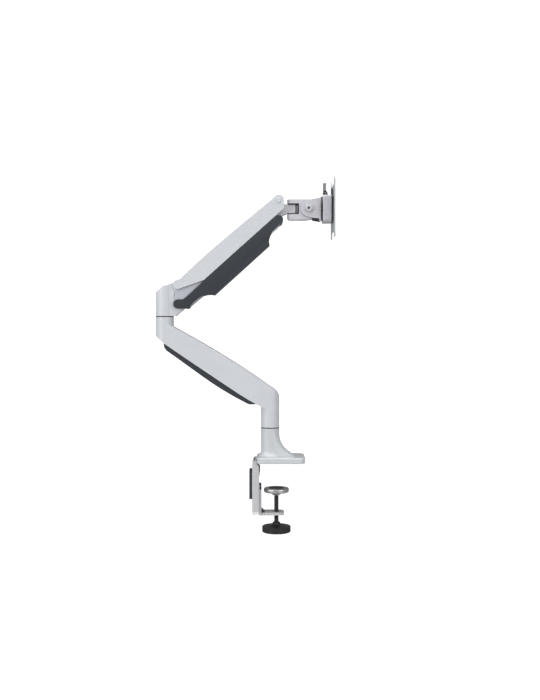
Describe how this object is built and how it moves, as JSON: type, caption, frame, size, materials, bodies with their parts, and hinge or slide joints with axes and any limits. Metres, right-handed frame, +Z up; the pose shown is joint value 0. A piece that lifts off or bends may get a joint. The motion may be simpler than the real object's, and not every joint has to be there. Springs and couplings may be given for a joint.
{
  "type": "monitor arm",
  "caption": "Desk-clamp monitor arm: swivelling cranked lower arm, gas-sprung parallelogram upper arm, and a swivel, tilt and rotate head with a slide-off square mounting plate.",
  "frame": {"origin": "on the base swivel axis at the underside of the foot, where it rests on the desk", "axes": "+X from the desk edge in over the desk, towards the head at rest; +Z up"},
  "size_m": [0.3555, 0.117, 0.704],
  "materials": {
    "casting_paint": "satin powder coat, cool light grey",
    "foot_paint": "satin powder coat, grey white",
    "head_paint": "satin powder coat",
    "link_paint": "satin powder coat, silver grey",
    "clamp_steel": "painted sheet steel",
    "plated_steel": "zinc plated",
    "dark_steel": "black oxide",
    "charcoal_plastic": "fine moulded grain",
    "black_plastic": "satin moulded",
    "grey_plastic": "satin moulded",
    "pale_plastic": "satin moulded",
    "rubber": "matt",
    "bush": "sintered bronze"
  },
  "bodies": {
    "base": {"base_foot": "foot_paint", "foot_pad": "rubber", "swivel_shaft": "plated_steel", "shaft_screw": "plated_steel", "base_washer": "black_plastic", "clamp_upright": "clamp_steel", "upright_end_cap": "pale_plastic", "upright_screws": "dark_steel", "edge_bumper": "rubber", "rear_cable_clip": "charcoal_plastic", "lower_bracket": "clamp_steel", "bracket_gusset": "dark_steel", "bracket_screws": "dark_steel", "threaded_insert": "plated_steel"},
    "clamp_pad": {"pressure_disc": "plated_steel", "pressure_pad": "rubber"},
    "clamp_screw": {"clamp_spindle": "dark_steel", "clamp_knob": "black_plastic"},
    "lower_arm": {"lower_arm_casting": "casting_paint", "lower_arm_cable_cover": "charcoal_plastic", "column_bushes": "bush", "elbow_bushes": "bush", "elbow_washer": "black_plastic"},
    "yoke": {"yoke_casting": "casting_paint", "yoke_spindle": "plated_steel", "rear_upper_pin": "casting_paint", "rear_lower_pin": "plated_steel", "spring_foot_pin": "plated_steel"},
    "upper_arm": {"upper_casing": "casting_paint", "spring_head_pin": "casting_paint"},
    "lower_link": {"lower_link": "link_paint", "lower_link_cover": "charcoal_plastic"},
    "spring_cylinder": {"gas_cylinder": "dark_steel", "rod_guide": "plated_steel"},
    "spring_rod": {"gas_rod": "plated_steel"},
    "knuckle": {"front_knuckle": "head_paint", "front_pivot_bolt": "casting_paint", "front_pivot_nut": "casting_paint", "front_lower_pin": "plated_steel", "head_bush": "bush"},
    "head": {"swivel_bracket": "head_paint", "swivel_pin": "plated_steel", "swivel_washers": "black_plastic", "tilt_friction_washers": "black_plastic"},
    "tilt_frame": {"tilt_bracket": "head_paint", "tilt_bracket_insert": "black_plastic", "tilt_bolt": "head_paint", "tilt_nut": "plated_steel", "rotation_disc": "black_plastic", "rotation_bolt": "plated_steel", "rotation_nut": "plated_steel"},
    "rotator": {"vesa_block": "head_paint", "latch_housing": "black_plastic", "lever_pin": "plated_steel"},
    "plate": {"slide_adapter": "black_plastic", "vesa_plate": "foot_paint", "plate_screws": "plated_steel"},
    "lever": {"release_lever": "grey_plastic", "lever_spring": "plated_steel"}
  },
  "joints": [
    {"name": "base_swivel", "type": "hinge", "parent": "base", "child": "lower_arm", "pos_m": [0, 0, 0.0678], "axis": [0, 0, 1], "range_deg": [-180, 180]},
    {"name": "elbow_swivel", "type": "hinge", "parent": "lower_arm", "child": "yoke", "pos_m": [-0.2105, 0, 0.2894], "axis": [0, 0, 1], "range_deg": [-180, 180]},
    {"name": "arm_lift", "type": "hinge", "parent": "yoke", "child": "upper_arm", "pos_m": [-0.183, 0, 0.354], "axis": [0, -1, 0], "range_deg": [-68, 0]},
    {"name": "link_follow", "type": "hinge", "parent": "yoke", "child": "lower_link", "pos_m": [-0.183, 0, 0.3152], "axis": [0, -1, 0], "range_deg": [-68, 0]},
    {"name": "head_level", "type": "hinge", "parent": "upper_arm", "child": "knuckle", "pos_m": [0.01617, 0, 0.52112], "axis": [0, -1, 0], "range_deg": [0, 68]},
    {"name": "spring_pivot", "type": "hinge", "parent": "upper_arm", "child": "spring_cylinder", "pos_m": [-0.01118, 0, 0.48838], "axis": [0, -1, 0], "range_deg": [0, 2.7]},
    {"name": "spring_stroke", "type": "slide", "parent": "spring_cylinder", "child": "spring_rod", "axis": [0.7504, 0, 0.661], "range_m": [0, 0.0215]},
    {"name": "head_swivel", "type": "hinge", "parent": "knuckle", "child": "head", "pos_m": [0.0455, 0, 0.505], "axis": [0, 0, 1], "range_deg": [-90, 90]},
    {"name": "head_tilt", "type": "hinge", "parent": "head", "child": "tilt_frame", "pos_m": [0.0765, 0, 0.5055], "axis": [0, -1, 0], "range_deg": [-45, 45]},
    {"name": "plate_rotate", "type": "hinge", "parent": "tilt_frame", "child": "rotator", "pos_m": [0.103, 0, 0.5055], "axis": [1, 0, 0], "range_deg": [-180, 180]},
    {"name": "quick_release", "type": "slide", "parent": "rotator", "child": "plate", "axis": [0, 0, 1], "range_m": [0, 0.06]},
    {"name": "release_latch", "type": "hinge", "parent": "rotator", "child": "lever", "pos_m": [0.1102, 0, 0.5363], "axis": [0, -1, 0], "range_deg": [0, 14], "stiffness_Nm_per_rad": 0.05},
    {"name": "clamp_travel", "type": "slide", "parent": "base", "child": "clamp_pad", "axis": [0, 0, 1], "range_m": [-0.031, 0.014]},
    {"name": "clamp_turn", "type": "hinge", "parent": "clamp_pad", "child": "clamp_screw", "pos_m": [0.0125, 0, -0.1], "axis": [0, 0, 1], "range_deg": [-7589, 3427]}
  ],
  "couplings": [
    {"joint": "link_follow", "follows": "arm_lift", "ratio": 1},
    {"joint": "head_level", "follows": "arm_lift", "ratio": -1},
    {"joint": "spring_pivot", "follows": "arm_lift", "ratio": -0.038},
    {"joint": "spring_stroke", "follows": "arm_lift", "m_per_rad": -0.018},
    {"joint": "clamp_turn", "follows": "clamp_travel", "rad_per_m": 4188.8}
  ]
}
